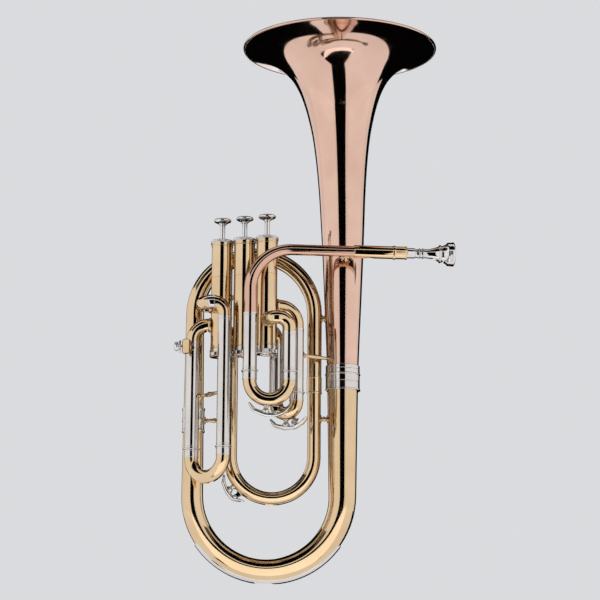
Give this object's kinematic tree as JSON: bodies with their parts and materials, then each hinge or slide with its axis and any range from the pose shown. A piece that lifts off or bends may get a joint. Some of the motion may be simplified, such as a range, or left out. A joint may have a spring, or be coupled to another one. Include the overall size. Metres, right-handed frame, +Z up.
{
  "type": "alto horn",
  "caption": "Upright brass alto horn with piston valves, drawn slides with water keys, a coiled tube, a leadpipe with mouthpiece and an upward flared bell.",
  "frame": {"origin": "under the bottom bow's lowest point, midway between its two legs and on their plane", "axes": "+Z up along the bell's axis, +X from the valves towards the bell, -Y towards the side of the valves and the leadpipe"},
  "size_m": [0.2873, 0.205, 0.5688],
  "materials": {
    "bell_brass": "polished rose brass",
    "yellow_brass": "polished yellow brass",
    "copper": "polished copper",
    "nickel": "polished nickel silver",
    "silver": "polished silver plate",
    "steel": "satin",
    "cork": "matt",
    "guide_nylon": "satin"
  },
  "bodies": {
    "horn": {"bell": "bell_brass", "bottom_bow": "yellow_brass", "main_branch": "yellow_brass", "branch_ferrule": "yellow_brass", "small_bow": "yellow_brass", "valve_casing_1": "yellow_brass", "valve_casing_2": "yellow_brass", "valve_casing_3": "yellow_brass", "main_sleeve_left": "yellow_brass", "main_sleeve_right": "yellow_brass", "first_sleeve_left": "yellow_brass", "first_sleeve_right": "yellow_brass", "third_sleeve_left": "yellow_brass", "third_sleeve_right": "yellow_brass", "receiver": "yellow_brass", "lyre_box": "yellow_brass", "third_slide_stay": "yellow_brass", "collar_stay": "yellow_brass", "first_slide_stay": "yellow_brass", "branch_stay": "yellow_brass", "small_bow_stay": "yellow_brass", "leadpipe_stay": "yellow_brass", "leadpipe": "copper", "bell_ferrule": "nickel", "bow_guard": "nickel", "bow_collar": "nickel", "bottom_cap_1": "nickel", "bottom_cap_2": "nickel", "bottom_cap_3": "nickel", "top_cap_1": "nickel", "top_cap_2": "nickel", "top_cap_3": "nickel", "mouthpiece": "silver", "small_bow_water_key_pin": "steel", "valve_guide_1": "guide_nylon", "valve_guide_2": "guide_nylon", "valve_guide_3": "guide_nylon"},
    "valve_1": {"piston_1": "steel", "valve_spring_1": "steel", "finger_button_1": "nickel"},
    "valve_2": {"piston_2": "steel", "valve_spring_2": "steel", "finger_button_2": "nickel"},
    "valve_3": {"piston_3": "steel", "valve_spring_3": "steel", "finger_button_3": "nickel"},
    "main_tuning_slide": {"main_slide": "yellow_brass", "main_water_key_pin": "steel"},
    "main_slide_key": {"main_water_key": "nickel", "main_water_key_cork": "cork"},
    "first_valve_slide": {"first_slide": "yellow_brass", "first_water_key_pin": "steel"},
    "first_slide_key": {"first_water_key": "nickel", "first_water_key_cork": "cork"},
    "second_valve_slide": {"second_slide": "yellow_brass"},
    "third_valve_slide": {"third_slide": "yellow_brass"},
    "small_bow_key": {"small_bow_water_key": "nickel", "small_bow_water_key_cork": "cork"},
    "lyre_thumbscrew": {"lyre_screw": "nickel"}
  },
  "joints": [
    {"name": "valve_1_travel", "type": "slide", "parent": "horn", "child": "valve_1", "axis": [0, 0, -1], "range_m": [0, 0.014], "stiffness_N_per_m": 200, "springref_m": -0.015, "deforming": ["valve_spring_1"]},
    {"name": "valve_2_travel", "type": "slide", "parent": "horn", "child": "valve_2", "axis": [0, 0, -1], "range_m": [0, 0.014], "stiffness_N_per_m": 200, "springref_m": -0.015, "deforming": ["valve_spring_2"]},
    {"name": "valve_3_travel", "type": "slide", "parent": "horn", "child": "valve_3", "axis": [0, 0, -1], "range_m": [0, 0.014], "stiffness_N_per_m": 200, "springref_m": -0.015, "deforming": ["valve_spring_3"]},
    {"name": "main_slide_draw", "type": "slide", "parent": "horn", "child": "main_tuning_slide", "axis": [0, 0, -1], "range_m": [0, 0.025]},
    {"name": "first_slide_draw", "type": "slide", "parent": "horn", "child": "first_valve_slide", "axis": [0, 0, -1], "range_m": [0, 0.025]},
    {"name": "second_slide_draw", "type": "slide", "parent": "horn", "child": "second_valve_slide", "axis": [0.3502, 0.9367, 0], "range_m": [0, 0.014]},
    {"name": "third_slide_draw", "type": "slide", "parent": "horn", "child": "third_valve_slide", "axis": [0, 0, -1], "range_m": [0, 0.04]},
    {"name": "main_key_hinge", "type": "hinge", "parent": "main_tuning_slide", "child": "main_slide_key", "pos_m": [0.00782, -0.05886, 0.16714], "axis": [0.0633, -0.998, 0], "range_deg": [0, 14], "stiffness_Nm_per_rad": 0.05, "springref_deg": -17.19},
    {"name": "first_key_hinge", "type": "hinge", "parent": "first_valve_slide", "child": "first_slide_key", "pos_m": [0.0272, -0.03113, 0.15921], "axis": [-0.435, -0.9004, 0], "range_deg": [0, 14], "stiffness_Nm_per_rad": 0.05, "springref_deg": -17.19},
    {"name": "small_bow_key_hinge", "type": "hinge", "parent": "horn", "child": "small_bow_key", "pos_m": [-0.03293, 0, 0.08898], "axis": [0, -1, 0], "range_deg": [0, 14], "stiffness_Nm_per_rad": 0.05, "springref_deg": -17.19},
    {"name": "lyre_screw_turn", "type": "hinge", "parent": "horn", "child": "lyre_thumbscrew", "pos_m": [-0.0868, -0.0329, 0.2385], "axis": [-1, 0, 0], "range_deg": [0, 270]}
  ]
}
